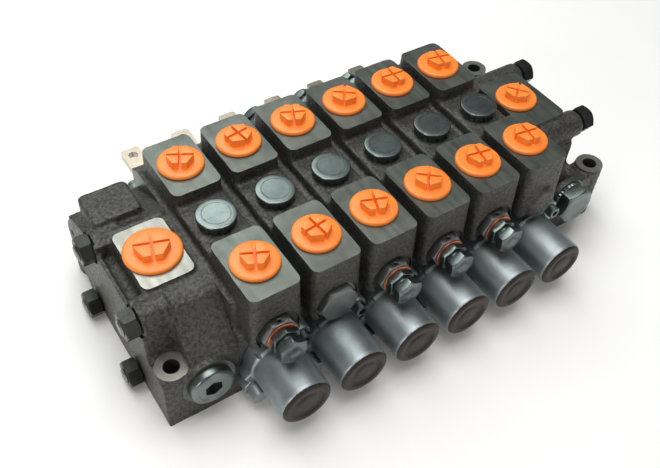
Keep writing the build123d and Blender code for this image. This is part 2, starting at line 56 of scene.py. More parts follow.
cameraData = bpy.data.cameras.new("mainCamera")
cameraData.lens = cameraView["lens"]
cameraData.sensor_width = 36
mainCamera = bpy.data.objects.new("mainCamera", cameraData)
bpy.context.scene.collection.objects.link(mainCamera)
mainCamera.matrix_world = (
    Matrix.Translation(Vector(cameraView["place"]) * mm)
    @ Matrix.Rotation(-math.radians(cameraView["azimuth"]), 4, "Z")
    @ Matrix.Rotation(math.radians(90 - cameraView["down"]), 4, "X")
    @ Matrix.Rotation(math.radians(cameraView["roll"]), 4, "Z")
)
bpy.context.scene.camera = mainCamera


# Small tools for modelling

def clearSelection():
    if bpy.context.object and bpy.context.object.mode != "OBJECT":
        bpy.ops.object.mode_set(mode="OBJECT")
    bpy.ops.object.select_all(action="DESELECT")


def pick(piece):
    clearSelection()
    piece.select_set(True)
    bpy.context.view_layer.objects.active = piece
    return piece


def settle(piece):  # puts an object's place into its mesh
    pick(piece)
    bpy.ops.object.transform_apply(location=True, rotation=True, scale=True)
    return piece


def joined(pieces):
    clearSelection()
    for piece in pieces:
        piece.select_set(True)
    bpy.context.view_layer.objects.active = pieces[0]
    if len(pieces) > 1:
        bpy.ops.object.join()
    return pieces[0]


def turned(steps, segments=64):  # a round piece along +Z from (height, radius) steps in millimetres
    clearSelection()
    height, radius = steps[0]
    bpy.ops.mesh.primitive_circle_add(
        vertices=segments, radius=radius * mm, fill_type="NGON", location=(0, 0, height * mm)
    )
    piece = settle(bpy.context.object)
    bpy.ops.object.mode_set(mode="EDIT")
    bpy.ops.mesh.select_mode(type="FACE")
    bpy.ops.mesh.select_all(action="SELECT")
    for nextHeight, nextRadius in steps[1:]:
        rise = (nextHeight - height) * mm
        bpy.ops.mesh.extrude_region_move(TRANSFORM_OT_translate={"value": (0, 0, rise)})
        grow = nextRadius / radius
        bpy.ops.transform.resize(value=(grow, grow, 1), center_override=(0, 0, nextHeight * mm))
        height, radius = nextHeight, nextRadius
    bpy.ops.mesh.select_all(action="SELECT")
    bpy.ops.mesh.normals_make_consistent(inside=False)
    bpy.ops.object.mode_set(mode="OBJECT")
    return piece


def prism(sides, across, low, high, turn=0.0):  # across is between opposite flats
    clearSelection()
    bpy.ops.mesh.primitive_cylinder_add(
        vertices=sides, radius=across / 2 / math.cos(math.pi / sides) * mm, depth=(high - low) * mm,
        location=(0, 0, (high + low) / 2 * mm), rotation=(0, 0, math.radians(turn)),
    )
    return settle(bpy.context.object)


def block(low, high, corner=0.0, draft=0.0):  # a box with rounded upright corners, wider at its foot by draft
    clearSelection()
    size = [b - a for a, b in zip(low, high)]
    bpy.ops.mesh.primitive_cube_add(size=1, location=[(a + b) / 2 * mm for a, b in zip(low, high)])
    piece = bpy.context.object
    piece.scale = [s * mm for s in size]
    settle(piece)
    middle = [(a + b) / 2 * mm for a, b in zip(low, high)]
    if draft:
        for vertex in piece.data.vertices:
            vertex.select = vertex.co.z < middle[2]
        for edge in piece.data.edges:
            edge.select = all(piece.data.vertices[v].co.z < middle[2] for v in edge.vertices)
        for face in piece.data.polygons:
            face.select = face.normal.z < -0.5
        bpy.ops.object.mode_set(mode="EDIT")
        grow = [(s + 2 * draft) / s for s in size[:2]]
        foot = (middle[0], middle[1], low[2] * mm)
        bpy.ops.transform.resize(value=(grow[0], grow[1], 1), center_override=foot)
        bpy.ops.object.mode_set(mode="OBJECT")
    if corner:
        bpy.ops.object.mode_set(mode="EDIT")
        bpy.ops.mesh.select_mode(type="EDGE")
        bpy.ops.mesh.select_all(action="DESELECT")
        bpy.ops.object.mode_set(mode="OBJECT")
        for edge in piece.data.edges:
            ends = [piece.data.vertices[v].co for v in edge.vertices]
            edge.select = abs(ends[0].z - ends[1].z) > 0.5 * size[2] * mm
        bpy.ops.object.mode_set(mode="EDIT")
        bpy.ops.mesh.bevel(offset=corner * mm, segments=6, affect="EDGES")
        bpy.ops.object.mode_set(mode="OBJECT")
    return piece


def bar(start, end, radius, segments=64):  # a round bar between two points that differ along one axis
    span = Vector(end) - Vector(start)
    piece = turned([(0, radius), (span.length, radius)], segments)
    piece.rotation_mode = "QUATERNION"
    piece.rotation_quaternion = Vector((0, 0, 1)).rotation_difference(span.normalized())
    piece.location = Vector(start) * mm
    return settle(piece)


# turns about X and Y that make +Z look each way
facing = {"front": (90, 0), "back": (-90, 0), "left": (0, -90), "right": (0, 90), "up": (0, 0)}


def stand(piece, side, place):  # turns a piece made along +Z to face a side, and moves it to a place
    aboutX, aboutY = facing[side]
    piece.rotation_mode = "XYZ"
    piece.rotation_euler = (math.radians(aboutX), math.radians(aboutY), 0)
    piece.location = Vector(place) * mm
    return settle(piece)


def copied(piece, place=(0, 0, 0), turn=0.0):  # a copy with its own mesh, turned about Z and then moved
    twin = piece.copy()
    twin.data = piece.data.copy()
    bpy.context.scene.collection.objects.link(twin)
    twin.rotation_mode = "XYZ"
    twin.rotation_euler = (0, 0, math.radians(turn))
    twin.location = Vector(place) * mm
    return settle(twin)


def combine(piece, tool, operation="DIFFERENCE"):
    pick(piece)
    change = piece.modifiers.new("combine", "BOOLEAN")
    change.operation = operation
    change.solver = "EXACT"
    change.object = tool
    bpy.ops.object.modifier_apply(modifier="combine")
    bpy.data.objects.remove(tool)
    return piece


def slicedOff(piece, place, normal):  # removes all that lies beyond a plane and closes the cut
    pick(piece)
    bpy.ops.object.mode_set(mode="EDIT")
    bpy.ops.mesh.select_all(action="SELECT")
    bpy.ops.mesh.bisect(
        plane_co=Vector(place) * mm, plane_no=Vector(normal).normalized(), use_fill=True, clear_outer=True,
        threshold=0.000001,
    )
    bpy.ops.object.mode_set(mode="OBJECT")
    return piece


def softened(piece, width, segments=2, angle=30):  # small radii on every edge sharper than the angle
    pick(piece)
    change = piece.modifiers.new("soften", "BEVEL")
    change.width = width * mm
    change.segments = segments
    change.limit_method = "ANGLE"
    change.angle_limit = math.radians(angle)
    bpy.ops.object.modifier_apply(modifier="soften")
    return piece


def smoothShaded(piece, angle=32):
    pick(piece)
    bpy.ops.object.shade_smooth_by_angle(angle=math.radians(angle))
    return piece


def cast(piece, voxel, rounds, grain, grainSize):  # one skin over joined blocks, softened and grained
    pick(piece)
    skin = piece.modifiers.new("skin", "REMESH")
    skin.mode = "VOXEL"
    skin.voxel_size = voxel * mm
    bpy.ops.object.modifier_apply(modifier="skin")
    ease = piece.modifiers.new("ease", "SMOOTH")
    ease.factor = 0.5
    ease.iterations = rounds
    bpy.ops.object.modifier_apply(modifier="ease")
    for name, strength, size in (("grain", grain, grainSize), ("waves", grain * 1.6, grainSize * 6)):
        texture = bpy.data.textures.new(name, "CLOUDS")
        texture.noise_scale = size * mm
        texture.noise_depth = 2
        rough = piece.modifiers.new(name, "DISPLACE")
        rough.texture = texture
        rough.texture_coords = "LOCAL"
        rough.strength = strength * mm
        rough.mid_level = 0.5
        bpy.ops.object.modifier_apply(modifier=name)
    return piece


def ribbed(piece, count, depth, low, high):  # shallow ribs round the side between two heights
    for vertex in piece.data.vertices:
        if low * mm < vertex.co.z < high * mm:
            angle = math.atan2(vertex.co.y, vertex.co.x)
            ridge = 1 - depth * (int(round(angle / (2 * math.pi) * count)) % 2)
            vertex.co.x *= ridge
            vertex.co.y *= ridge
    return piece


def finished(piece, name, body, slot, finish, *nodes):
    piece.name = name
    piece.data.name = name
    if finish is not None:
        piece.data.materials.clear()
        piece.data.materials.append(finish)
    for node in nodes:
        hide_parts(node)
    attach(piece, body)
    return piece


# Finishes

class Finish:  # a material being wired up, with its shader at hand
    def __init__(self, name):
        self.material = bpy.data.materials.new(name)
        self.material.use_nodes = True
        self.nodes = self.material.node_tree.nodes
        self.links = self.material.node_tree.links
        self.shader = self.nodes["Principled BSDF"]
        self.place = self.nodes.new("ShaderNodeTexCoord").outputs["Object"]

    def link(self, source, target):
        self.links.new(source, target)

    def stretched(self, scale):  # the pattern's coordinates, drawn out along an axis
        mapping = self.nodes.new("ShaderNodeMapping")
        mapping.inputs["Scale"].default_value = scale
        self.link(self.place, mapping.inputs["Vector"])
        return mapping.outputs["Vector"]

    def noise(self, scale, detail=4.0, roughness=0.55, place=None):
        node = self.nodes.new("ShaderNodeTexNoise")
        node.inputs["Scale"].default_value = scale
        node.inputs["Detail"].default_value = detail
        node.inputs["Roughness"].default_value = roughness
        self.link(place or self.place, node.inputs["Vector"])
        return node.outputs["Fac"]

    def ramp(self, source, stops):
        node = self.nodes.new("ShaderNodeValToRGB")
        band = node.color_ramp
        while len(band.elements) < len(stops):
            band.elements.new(0.5)
        for element, (where, colour) in zip(band.elements, stops):
            element.position = where
            element.color = (*colour, 1)
        self.link(source, node.inputs["Fac"])
        return node.outputs["Color"]

    def span(self, source, low, high, fromLow=0.3, fromHigh=0.7):
        node = self.nodes.new("ShaderNodeMapRange")
        node.inputs["From Min"].default_value = fromLow
        node.inputs["From Max"].default_value = fromHigh
        node.inputs["To Min"].default_value = low
        node.inputs["To Max"].default_value = high
        self.link(source, node.inputs["Value"])
        return node.outputs["Result"]

    def mixed(self, share, first, second):
        node = self.nodes.new("ShaderNodeMix")
        node.data_type = "RGBA"
        self.link(share, node.inputs["Factor"])
        for source, socket in ((first, node.inputs["A"]), (second, node.inputs["B"])):
            if isinstance(source, tuple):
                socket.default_value = (*source, 1)
            else:
                self.link(source, socket)
        return node.outputs["Result"]

    def bump(self, sources):  # (height, strength, distance in millimetres) one over the other
        below = None
        for height, strength, distance in sources:
            node = self.nodes.new("ShaderNodeBump")
            node.inputs["Strength"].default_value = strength
            node.inputs["Distance"].default_value = distance * mm
            self.link(height, node.inputs["Height"])
            if below is not None:
                self.link(below, node.inputs["Normal"])
            below = node.outputs["Normal"]
        self.link(below, self.shader.inputs["Normal"])


def setShader(finish, **values):
    for name, value in values.items():
        finish.shader.inputs[name.replace("_", " ")].default_value = value


castIron = {"dark": (0.010, 0.0092, 0.0076), "light": (0.042, 0.043, 0.036), "rough": (0.38, 0.66)}


def castFinish():
    f = Finish("castIron")
    broad = f.noise(28, 5, 0.6)
    grain = f.noise(1100, 3, 0.6)
    pits = f.noise(420, 4, 0.65)
    tone = f.ramp(broad, [(0.30, castIron["dark"]), (0.72, castIron["light"])])
    # fine specks in the cast colour: dark pits, and light grey painted glints
    pitsAndGlints = f.ramp(pits, [(0.35, (0.009, 0.008, 0.007)), (0.62, (0.150, 0.150, 0.132))])
    f.link(f.mixed(f.span(grain, 0.15, 0.6), tone, pitsAndGlints), f.shader.inputs["Base Color"])
    f.link(f.span(pits, castIron["rough"][1], castIron["rough"][0]), f.shader.inputs["Roughness"])
    f.bump([(f.noise(190, 4, 0.6), 0.7, 0.9), (pits, 1.0, 0.7), (grain, 0.8, 0.2)])
    setShader(f, Metallic=0.3)
    f.shader.inputs["Coat Weight"].default_value = 0.12
    f.shader.inputs["Coat Roughness"].default_value = 0.3
    return f.material


def milledFinish(name, dark, light):
    f = Finish(name)
    lines = f.noise(240, 3, 0.6, f.stretched((1, 0.04, 1)))
    broad = f.noise(45, 4, 0.6)
    specks = f.noise(900, 2, 0.5)
    f.link(f.ramp(broad, [(0.3, dark), (0.75, light)]), f.shader.inputs["Base Color"])
    f.link(f.span(lines, 0.30, 0.48), f.shader.inputs["Roughness"])
    f.bump([(lines, 0.25, 0.05), (specks, 0.2, 0.04)])
    setShader(f, Metallic=0.8)
    return f.material


def metalFinish(name, dark, light, rough, metallic, grain, strength):
    f = Finish(name)
    broad = f.noise(60, 4, 0.6)
    fine = f.noise(grain, 3, 0.6)
    f.link(f.ramp(broad, [(0.3, dark), (0.7, light)]), f.shader.inputs["Base Color"])
    f.link(f.span(fine, rough[0], rough[1]), f.shader.inputs["Roughness"])
    f.bump([(fine, strength, 0.05)])
    setShader(f, Metallic=metallic)
    return f.material


def plugFinish():
    f = Finish("plugPlastic")
    broad = f.noise(70, 3, 0.5)
    fine = f.noise(1300, 2, 0.5)
    tone = f.ramp(broad, [(0.3, (0.93, 0.225, 0.026)), (0.7, (0.98, 0.275, 0.042))])
    f.link(tone, f.shader.inputs["Base Color"])
    f.link(f.span(fine, 0.30, 0.42), f.shader.inputs["Roughness"])
    f.bump([(fine, 0.12, 0.05)])
    f.shader.inputs["Subsurface Weight"].default_value = 0.05
    f.shader.inputs["Subsurface Radius"].default_value = (1.0, 0.35, 0.12)
    f.shader.inputs["Subsurface Scale"].default_value = 0.0022
    return f.material


def rubberFinish():
    f = Finish("sealRubber")
    fine = f.noise(700, 3, 0.6)
    tone = f.ramp(fine, [(0.3, (0.012, 0.012, 0.012)), (0.7, (0.03, 0.03, 0.03))])
    f.link(tone, f.shader.inputs["Base Color"])
    f.link(f.span(fine, 0.5, 0.7), f.shader.inputs["Roughness"])
    f.bump([(fine, 0.3, 0.08)])
    return f.material


# name, dark and light colour, lowest and highest roughness, metallic, grain scale and grain strength
metals = {
    "cap_aluminium": (
        "capAluminium", (0.25, 0.285, 0.295), (0.35, 0.395, 0.41), (0.40, 0.50), 0.85, 800, 0.2,
    ),
    # the caps' round ends in dark brown: a painted reflection of a dark room
    "capEndDarkReflection": ("capEndDarkReflection", (0.020, 0.0155, 0.0135), (0.042, 0.033, 0.029), (0.40, 0.55), 0.6, 800, 0.3),
    "zinc_steel": ("zincSteel", (0.12, 0.148, 0.144), (0.20, 0.236, 0.230), (0.26, 0.40), 1.0, 700, 0.15),
    "dark_steel": ("darkSteel", (0.14, 0.15, 0.15), (0.24, 0.25, 0.25), (0.30, 0.45), 0.9, 700, 0.2),
    "black_steel": (
        "blackSteel", (0.012, 0.014, 0.013), (0.034, 0.040, 0.036), (0.26, 0.42), 0.6, 700, 0.25,
    ),
    "spool_steel": ("spoolSteel", (0.45, 0.38, 0.30), (0.60, 0.53, 0.44), (0.25, 0.38), 1.0, 900, 0.12),
    "spring_steel": ("springSteel", (0.25, 0.25, 0.26), (0.38, 0.38, 0.39), (0.28, 0.4), 1.0, 900, 0.12),
    "copper": ("copper", (0.55, 0.19, 0.10), (0.75, 0.30, 0.17), (0.28, 0.42), 1.0, 700, 0.15),
}
finishes = {
    "casting": castFinish(),
    "milled": milledFinish("milledFace", (0.088, 0.100, 0.088), (0.18, 0.20, 0.178)),
    "padFace": milledFinish("portPadFace", (0.22, 0.22, 0.195), (0.36, 0.36, 0.325)),
    "seal_rubber": rubberFinish(),
    "plug_plastic": plugFinish(),
}
for slot, values in metals.items():
    finishes[slot] = metalFinish(*values)
print("finishes ready")


# Places read from the frame, in millimetres

def middle(node):
    low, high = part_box(node)
    return (low + high) / 2 / mm


sectionX = {n: middle("work_section_%d" % n).x for n in sectionNumbers}
halfPitch = (sectionX[2] - sectionX[1]) / 2
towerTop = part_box("work_section_1")[1].z / mm
rowFront = middle("a_port_plug_1").y
rowBack = middle("b_port_plug_1").y
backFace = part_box("work_section_1")[1].y / mm
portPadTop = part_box("p_port_plug")[0].z / mm + 5.0  # a plug's spigot reaches 5 mm below its flange
spoolZ = middle("spool_caps").z
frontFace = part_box("spool_caps")[1].y / mm
reliefZ = middle("relief_caps").z
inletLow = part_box("inlet_section")[0] / mm
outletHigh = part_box("outlet_section")[1] / mm
jointLeft = sectionX[1] - halfPitch
jointRight = sectionX[6] + halfPitch
inletX = middle("p_port_plug").x
outletX = middle("t_port_plug").x
rodLow = 11.2  # heights of the tie rods
rodHigh = 82.5
upperRodsY = (-36.0, 36.0)
lowerRodsY = (-23.0, 48.0)
reliefPlugZ = 36.0  # the main relief plug in the inlet section
outletPlugZ = 38.0
outletPlugX = middle("outlet_plug").x
outletRight = outletHigh.x - 26.5  # the end face, without the lugs
workPort = (13.2, 12.6)  # radii of a port's mouth and its thread
inletPort = (16.6, 16.0)


# Working section castings

sectionShape = {
    "tower": (37.0, 56.0), "towerCorner": 5.0, "towerFoot": 60.0, "draft": 1.1,
    "coreTop": 90.0, "coreFront": -60.0, "shoulder": 68.0, "backSlope": (80.0, 90.0, 6.0, 12.0),
    "pad": (18.5, 26.0), "padTop": 98.0, "landRadius": 15.5, "over": 3.0,
    "voxel": 1.25, "rounds": 7, "grain": 0.30, "grainSize": 2.2,
}


def portCutter(x, y, top, mouth, thread, bottom):  # a threaded port, drawn from its bottom up
    steps = [(bottom, 8.5), (top - 19.5, 8.5), (top - 19.5, thread)]
    height = top - 19.0
    while height < top - 6.0:  # thread crests and roots
        steps += [(height, thread), (height + 0.9, thread + 0.55)]
        height += 1.8
    steps += [(top - 5.5, thread), (top - 5.5, mouth), (top - 0.5, mouth)]
    steps += [(top + 0.1, mouth + 0.6), (top + 4, mouth + 0.6)]
    return stand(turned(steps, 72), "up", (x, y, 0))


def sectionBase(plainBoss):
    s = sectionShape
    half = halfPitch + 1.5
    pieces = [
        block((-half, s["coreFront"], -2), (half, backFace + 1.5, s["coreTop"])),
        block((-half, frontFace - 1.5, -2), (half, s["coreFront"] + 4, s["shoulder"] - 4)),
        block((-s["pad"][0], -s["pad"][1], s["towerFoot"]), (s["pad"][0], s["pad"][1], s["padTop"])),
        bar((0, 0, s["padTop"] - 2), (0, 0, s["padTop"] + 1), s["landRadius"]),
    ]
    slicedOff(pieces[0], (0, s["backSlope"][0], s["backSlope"][1]), (0, s["backSlope"][2], s["backSlope"][3]))
    for row in (rowFront, rowBack):
        width, length = s["tower"]
        low = (-width / 2, row - length / 2, s["towerFoot"])
        high = (width / 2, row + length / 2, towerTop + s["over"])
        pieces.append(block(low, high, s["towerCorner"], s["draft"]))
    if plainBoss:
        pieces.append(stand(turned([(0, 13.6), (13.5, 13.2), (15, 12.0)]), "front", (0, -70, reliefZ)))
    piece = cast(joined(pieces), s["voxel"], s["rounds"], s["grain"], s["grainSize"])
    for place, normal in (
        ((-halfPitch, 0, 0), (-1, 0, 0)), ((halfPitch, 0, 0), (1, 0, 0)), ((0, 0, 0), (0, 0, -1)),
        ((0, backFace, 0), (0, 1, 0)), ((0, 0, towerTop), (0, 0, 1)),
    ):
        slicedOff(piece, place, normal)
    tools = [block((-halfPitch - 1, frontFace - 6, -1), (halfPitch + 1, frontFace, 57.5))]
    tools.append(bar((0, 91, reliefZ), (0, backFace + 5, reliefZ), 16.5))
    if not plainBoss:
        tools.append(bar((0, -79, reliefZ), (0, -95, reliefZ), 16.5))
    tools.append(portCutter(0, rowFront, towerTop, *workPort, 52))
    tools.append(portCutter(0, rowBack, towerTop, *workPort, 52))
    checkBore = turned([(56, 5.5), (64, 5.5), (64, 9), (82, 9), (82, 11.05), (106, 11.05)])
    tools.append(stand(checkBore, "up", (0, 0, 0)))
    combine(piece, joined(tools))
    combine(piece, bar((0, frontFace - 9, spoolZ), (0, backFace + 9, spoolZ), 9.0))
    return piece


def faceIsMilled(centre, normal):  # tops of the towers, machined ends and the bored ports
    if abs(centre.z - towerTop * mm) < 0.00005 and normal.z > 0.99:
        return True
    if abs(abs(normal.x) - 1) < 0.0001 or normal.z < -0.9999 or abs(centre.y - backFace * mm) < 0.00005:
        return True
    if abs(centre.y - frontFace * mm) < 0.00005 and normal.y < -0.99:
        return True
    return False


def inBore(centre, x, y, radius):
    return (centre.x - x * mm) ** 2 + (centre.y - y * mm) ** 2 < ((radius + 0.8) * mm) ** 2


def paintCasting(piece, ports, milledTest):
    piece.data.materials.clear()
    piece.data.materials.append(finishes["casting"])
    piece.data.materials.append(finishes["milled"])
    piece.data.materials.append(finishes["padFace"])
    for face in piece.data.polygons:
        kind = milledTest(face.center, face.normal)
        if not kind and any(inBore(face.center, x, y, radius) for x, y, radius in ports):
            kind = 1
        face.material_index = int(kind)


drilledBase = sectionBase(False)
bossBase = sectionBase(True)
for base in (drilledBase, bossBase):
    paintCasting(base, [(0, rowFront, workPort[0]), (0, rowBack, workPort[0])], faceIsMilled)
    smoothShaded(base)
for n in sectionNumbers:
    section = copied(bossBase if n == 6 else drilledBase, (sectionX[n], 0, 0))
    finished(section, "sectionCasting_%d" % n, "valve", "casting", None, "work_section_%d" % n)
print("working sections cast", len(drilledBase.data.polygons))
bpy.data.objects.remove(drilledBase)
bpy.data.objects.remove(bossBase)


# Inlet and outlet castings

endShape = {
    "lugTop": 51.0, "lugRadius": 11.2, "lugX": 191.0, "lugFront": -58.0, "lugBack": 92.0,
    "lugHole": 5.75, "lugBore": 5.2, "rodBoss": 11.0,
}
endSkin = (1.25, 6, 0.42, 2.4)  # voxel, smoothing rounds, grain depth and grain size


def lugParts(side, reach):
    parts = []
    for y in (endShape["lugFront"], endShape["lugBack"]):
        x = side * endShape["lugX"]
        parts.append(bar((x, y, -2), (x, y, endShape["lugTop"] + 2), endShape["lugRadius"]))
        ends = sorted((side * reach, x))
        parts.append(block((ends[0], y - 10, -2), (ends[1], y + 10, endShape["lugTop"] - 2.5)))
    return parts


def lugCutters(side):
    tools = []
    for y in (endShape["lugFront"], endShape["lugBack"]):
        x = side * endShape["lugX"]
        tools.append(bar((x, y, -5), (x, y, endShape["lugTop"] + 12), endShape["lugHole"]))
        above = (x, y, endShape["lugTop"] + 5)
        tools.append(bar((x, y, endShape["lugTop"]), above, endShape["lugRadius"] + 0.5))
    return tools


def inletCasting():
    left, right = inletLow.x, jointLeft
    base = block((left, frontFace - 1.5, -2), (right + 1.5, backFace - 1.0, 92))
    slicedOff(base, (0, frontFace, 55), (0, -34, 24))  # long ramp at the front
    slicedOff(base, (0, -44, 89), (0, -1, 2))
    slicedOff(base, (0, 35, 92), (0, 1, 3))
    slicedOff(base, (0, 47, 88), (0, 8, 19))
    slicedOff(base, (0, 85, 72), (0, 12, 7))
    slicedOff(base, (0, 58, 0), (0, 30, -34))  # undercut at the back
    steps = [
        block((left - 1, frontFace - 3, endShape["lugTop"] - 2.5), (left + 21, -46.5, 100)),
        block((left - 1, 80.5, endShape["lugTop"]), (left + 21, backFace + 2, 100)),
        block((left - 1, -25, 85), (inletX - 19, 25, 100)),
    ]
    for step in steps:
        combine(base, step)
    combine(base, block((left + 3.5, -25, 79), (inletX - 19, 25, 90), 3))
    parts = [base, block((inletX - 18.5, -27.2, 84), (inletX + 18.5, 27.2, portPadTop + 3), 5)]
    parts.append(block((jointLeft - 49, 40.5, 68), (jointLeft - 13, 71.5, 97), 4, 0.8))
    parts.append(block((left + 8, 29.5, 80), (jointLeft - 3, 33, 94)))
    for y in upperRodsY:
        parts.append(bar((left + 2, y, rodHigh), (left + 22, y, rodHigh), endShape["rodBoss"]))
    parts += lugParts(-1, endShape["lugX"] - 14)
    parts.append(bar((inletX, frontFace - 5.5, reliefPlugZ), (inletX, frontFace + 4, reliefPlugZ), 19.5))
    piece = cast(joined(parts), *endSkin)
    slicedOff(piece, (jointLeft, 0, 0), (1, 0, 0))
    slicedOff(piece, (0, 0, 0), (0, 0, -1))
    tools = lugCutters(-1)
    tools.append(block((inletX - 22, -30, portPadTop), (inletX + 22, 30, portPadTop + 6)))
    tools.append(bar((inletX, frontFace - 4, reliefPlugZ), (inletX, frontFace - 9, reliefPlugZ), 22))
    for y in upperRodsY:
        tools.append(bar((left + 2, y, rodHigh), (left - 4, y, rodHigh), 12))
    for y in lowerRodsY:
        tools.append(bar((left, y, rodLow), (left - 4, y, rodLow), 11.1))
    for tool in tools:
        combine(piece, tool)
    combine(piece, portCutter(inletX, 0, portPadTop, *inletPort, 24))
    return piece


def outletCasting():
    left, right = jointRight, outletRight
    base = block((left - 1.5, frontFace - 1.5, -2), (right, backFace, 92))
    slicedOff(base, (0, frontFace, 51), (0, -21, 22))
    slicedOff(base, (0, -46, 72), (0, -20, 13))
    slicedOff(base, (0, 30, 92), (0, 8, 16))
    slicedOff(base, (0, 46, 84), (0, 20, 16))
    slicedOff(base, (0, 62, 64), (0, 6, 30))
    combine(base, block((right - 12, frontFace - 3, endShape["lugTop"]), (right + 2, -46.5, 100)))
    combine(base, block((right - 12, 74, endShape["lugTop"]), (right + 2, backFace + 2, 100)))
    parts = [base, block((left + 2, -33, 78), (left + 43, 28, portPadTop + 3), 5)]
    for y in upperRodsY:
        parts.append(bar((left - 1, y, rodHigh), (left + 53.5, y, rodHigh), endShape["rodBoss"]))
    parts += lugParts(1, endShape["lugX"] - 22)
    front = (outletPlugX, frontFace - 3.5, outletPlugZ)
    parts.append(bar(front, (outletPlugX, frontFace + 4, outletPlugZ), 18))
    piece = cast(joined(parts), *endSkin)
    slicedOff(piece, (jointRight, 0, 0), (-1, 0, 0))
    slicedOff(piece, (0, 0, 0), (0, 0, -1))
    tools = lugCutters(1)
    tools.append(block((left - 2, -38, portPadTop), (left + 48, 34, portPadTop + 6)))
    seat = (outletPlugX, frontFace - 2, outletPlugZ)
    tools.append(bar(seat, (outletPlugX, frontFace - 9, outletPlugZ), 20))
    for y in upperRodsY:
        tools.append(bar((left + 53, y, rodHigh), (left + 58, y, rodHigh), 12))
    for y in lowerRodsY:
        tools.append(bar((right, y, rodLow), (right + 4, y, rodLow), 11.1))
    for tool in tools:
        combine(piece, tool)
    combine(piece, portCutter(outletX, 0, portPadTop, *workPort, 34))
    return piece


def flatAt(centre, normal, z):
    return abs(centre.z - z * mm) < 0.00005 and normal.z > 0.99


def onLugRing(centre, normal, x, y):
    return flatAt(centre, normal, endShape["lugTop"]) and inBore(centre, x, y, endShape["lugRadius"] - 0.7)


def isMachinedSide(normal):
    return abs(normal.x) > 0.9999 or normal.z < -0.9999 or normal.y < -0.9999


def inletMilled(centre, normal):
    if onLugRing(centre, normal, -endShape["lugX"], endShape["lugFront"]):
        return 2
    if flatAt(centre, normal, portPadTop):
        return 2
    return 1 if isMachinedSide(normal) else 0


def outletMilled(centre, normal):
    if flatAt(centre, normal, endShape["lugTop"]):
        return 2
    return 1 if flatAt(centre, normal, portPadTop) or isMachinedSide(normal) else 0


def boresOf(side, portX, mouth):  # the port and the two lug holes of an end section
    bores = [(portX, 0, mouth)]
    for y in (endShape["lugFront"], endShape["lugBack"]):
        bores.append((side * endShape["lugX"], y, endShape["lugBore"]))
    return bores


inlet = inletCasting()
paintCasting(inlet, boresOf(-1, inletX, inletPort[0]), inletMilled)
finished(smoothShaded(inlet), "inletCasting", "valve", "casting", None, "inlet_section")
outlet = outletCasting()
paintCasting(outlet, boresOf(1, outletX, workPort[0]), outletMilled)
finished(smoothShaded(outlet), "outletCasting", "valve", "casting", None, "outlet_section")
print("inlet and outlet cast", len(inlet.data.polygons), len(outlet.data.polygons))


# Orange transit plugs

plugShape = {"flangeHeight": 3.2, "gripTop": 9.4, "slot": 2.0, "spigot": 5.0, "edge": 0.14, "corner": 0.35}


def transitPlug(flange, spigot, grip):
    p = plugShape
    body = turned([
        (-p["spigot"], spigot - 0.5), (-p["spigot"] + 0.6, spigot), (-0.3, spigot), (-0.3, spigot - 0.4),
        (0, spigot - 0.4), (0, flange - 0.5), (0.5, flange), (1.7, flange), (2.4, flange - 0.25),
        (2.9, flange - 0.8), (3.2, flange - 1.8),
        (3.25, grip + 0.9), (3.6, grip * 0.8),
    ], 96)
    combine(body, turned([(-p["spigot"] - 1, spigot - 2), (-1.5, spigot - 2)], 64))
    head = prism(6, 2 * grip * math.cos(math.pi / 6), p["flangeHeight"] - 0.6, p["gripTop"], 30)
    pick(head)
    for edge in head.data.edges:
        ends = [head.data.vertices[v].co for v in edge.vertices]
        edge.select = abs(ends[0].z - ends[1].z) > 3 * mm
    bpy.ops.object.mode_set(mode="EDIT")
    bpy.ops.mesh.select_mode(type="EDGE")
    bpy.ops.mesh.bevel(offset=p["corner"] * mm, segments=3, affect="EDGES")
    bpy.ops.object.mode_set(mode="OBJECT")
    reach = grip + 2
    half = p["slot"] / 2
    for x, y in ((reach, half), (half, reach)):
        combine(head, block((-x, -y, p["flangeHeight"]), (x, y, p["gripTop"] + 2.6)))
    softened(head, p["edge"], 3, 40)
    return smoothShaded(joined([body, head]), 40)


# how far each grip is turned about Z, in degrees
plugTurns = {
    "front": (-25, -84, -20, 50, -11, -8), "back": (-28, -82, -24, 54, -4, -12), "inlet": -18, "outlet": 38,
}
workPlug = transitPlug(16.7, 12.8, 10.2)
inletPlug = transitPlug(20.0, 16.2, 12.8)


def transitPlugAt(master, name, node, place, turn):
    plug = copied(master, place, turn)
    finished(plug, "transitPlug_" + name, node, "plug_plastic", finishes["plug_plastic"], node)


for n in sectionNumbers:
    for row, y, side in (("a", rowFront, "front"), ("b", rowBack, "back")):
        place = (sectionX[n], y, towerTop)
        node = "%s_port_plug_%d" % (row, n)
        transitPlugAt(workPlug, "%s%d" % (row, n), node, place, plugTurns[side][n - 1])
transitPlugAt(inletPlug, "p", "p_port_plug", (inletX, 0, portPadTop), plugTurns["inlet"])
transitPlugAt(workPlug, "t", "t_port_plug", (outletX, 0, portPadTop), plugTurns["outlet"])
bpy.data.objects.remove(workPlug)
bpy.data.objects.remove(inletPlug)
print("transit plugs made")


# Spring caps and seal plates

flangeShape = {"earX": 19.0, "earZ": 17.5, "earRadius": 7.5, "radius": 21.0, "thick": 12.0, "spot": 5.6}


def earedFlange():  # drawn along +Z, with its ears up right and down left
    f = flangeShape
    parts = [turned([(0, f["radius"]), (f["thick"], f["radius"] - 0.4)])]
    bridge = block((-13.8, -30, 0), (13.8, 30, f["thick"]))
    bridge.data.transform(Matrix.Scale(0.74, 4, (0, 1, 0)))
    lean = math.atan2(f["earZ"], f["earX"]) - math.pi / 2
    bridge.data.transform(Matrix.Rotation(lean, 4, "Z"))
    parts.append(bridge)
    for side in (-1, 1):
        parts.append(stand(turned([(0, f["earRadius"]), (f["thick"], f["earRadius"] - 0.3)]), "up",
                           (side * f["earX"], side * f["earZ"], 0)))
    return parts


